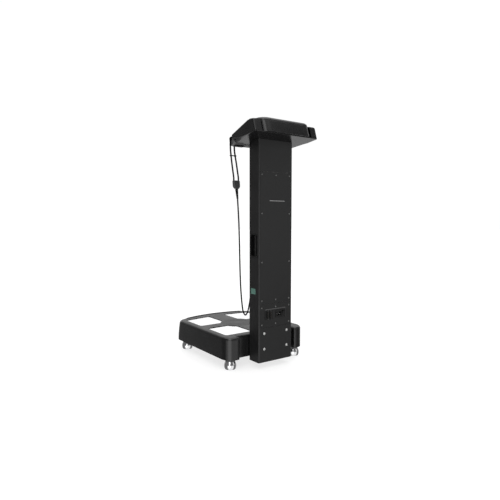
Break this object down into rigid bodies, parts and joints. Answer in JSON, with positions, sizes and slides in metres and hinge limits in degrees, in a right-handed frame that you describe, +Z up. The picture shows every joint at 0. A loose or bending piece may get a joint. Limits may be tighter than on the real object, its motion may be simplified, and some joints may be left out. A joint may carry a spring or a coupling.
{
  "type": "body composition analyser",
  "caption": "Free-standing body composition analyser: platform with foot electrodes on levelling feet, a column with back covers and sockets, and a console head with lift-out hand grips.",
  "frame": {"origin": "on the floor, under the middle of the part's bounding box", "axes": "+Z up; a person stands on the platform facing +Y, so +X is their right and the head and sockets are at +Y"},
  "size_m": [0.435, 0.667, 1.0545],
  "materials": {
    "black_shell": "black satin-gloss moulded plastic",
    "console_plastic": "black fine-textured moulded plastic",
    "column_paint": "black fine-texture powder coat",
    "socket_plastic": "black moulded plastic",
    "grip_plastic": "dark grey moulded plastic",
    "cord_rubber": "soft black cord jacket",
    "pad_plastic": "matt black insert",
    "polished_steel": "polished stainless steel",
    "chrome": "bright chrome plate",
    "zinc_steel": "zinc plated",
    "display_glass": "dark cover glass",
    "circuit_board": "green solder mask",
    "cast_alloy": "as-cast and machined alloy"
  },
  "bodies": {
    "stand": {"base_bottom_plate": "column_paint", "base_chassis": "cast_alloy", "base_shell": "black_shell", "centre_pad": "pad_plastic", "column_bolt_lower_left": "zinc_steel", "column_bolt_lower_right": "zinc_steel", "column_bolt_upper_left": "zinc_steel", "column_bolt_upper_right": "zinc_steel", "column_shell": "column_paint", "column_spacer": "zinc_steel", "column_top_plate": "zinc_steel", "cord_gland_left": "socket_plastic", "cord_gland_right": "socket_plastic", "cover_frame": "zinc_steel", "data_ports": "socket_plastic", "display_glass": "display_glass", "display_panel": "socket_plastic", "grip_cradle_left": "grip_plastic", "grip_cradle_right": "grip_plastic", "hand_cord_right": "cord_rubber", "hand_cup_left": "socket_plastic", "hand_cup_right": "socket_plastic", "head_bolt_left": "zinc_steel", "head_bolt_right": "zinc_steel", "head_lower_shell": "console_plastic", "head_rear_cover": "console_plastic", "head_upper_shell": "console_plastic", "heel_electrode_left": "polished_steel", "heel_electrode_right": "polished_steel", "load_cell_box": "socket_plastic", "load_cell_front_left": "cast_alloy", "load_cell_front_right": "cast_alloy", "load_cell_rear_left": "cast_alloy", "load_cell_rear_right": "cast_alloy", "main_board": "circuit_board", "measuring_board": "circuit_board", "power_inlet": "socket_plastic", "power_supply": "socket_plastic", "socket_panel": "column_paint", "toe_electrode_left": "polished_steel", "toe_electrode_right": "polished_steel", "upper_back_cover": "column_paint"},
    "foot_front_left": {"levelling_foot_front_left": "chrome"},
    "foot_front_right": {"levelling_foot_front_right": "chrome"},
    "foot_rear_left": {"levelling_foot_rear_left": "chrome"},
    "foot_rear_right": {"levelling_foot_rear_right": "chrome"},
    "rocker": {"power_rocker": "socket_plastic"},
    "left_grip": {"grip_core_left": "grip_plastic", "palm_electrode_left": "polished_steel", "thumb_electrode_left": "polished_steel"},
    "right_grip": {"grip_core_right": "grip_plastic", "palm_electrode_right": "polished_steel", "thumb_electrode_right": "polished_steel", "lead_boot_right": "cord_rubber", "palm_lead_right": "cord_rubber", "thumb_lead_right": "cord_rubber", "lead_clip_right": "cord_rubber", "lead_junction_right": "cord_rubber", "cord_relief_right": "cord_rubber"}
  },
  "joints": [
    {"name": "foot_front_left_height", "type": "slide", "parent": "stand", "child": "foot_front_left", "axis": [0, 0, -1], "range_m": [-0.008, 0.012]},
    {"name": "foot_front_right_height", "type": "slide", "parent": "stand", "child": "foot_front_right", "axis": [0, 0, -1], "range_m": [-0.008, 0.012]},
    {"name": "foot_rear_left_height", "type": "slide", "parent": "stand", "child": "foot_rear_left", "axis": [0, 0, -1], "range_m": [-0.008, 0.012]},
    {"name": "foot_rear_right_height", "type": "slide", "parent": "stand", "child": "foot_rear_right", "axis": [0, 0, -1], "range_m": [-0.008, 0.012]},
    {"name": "rocker_tilt", "type": "hinge", "parent": "stand", "child": "rocker", "pos_m": [-0.04, 0.2428, 0.2325], "axis": [1, 0, 0], "range_deg": [0, 16]},
    {"name": "left_grip_lift", "type": "slide", "parent": "stand", "child": "left_grip", "axis": [0, -0.5, 0.866], "range_m": [0, 0.06]},
    {"name": "right_grip_lift", "type": "slide", "parent": "stand", "child": "right_grip", "axis": [0, -0.5, 0.866], "range_m": [0, 0.06]}
  ]
}
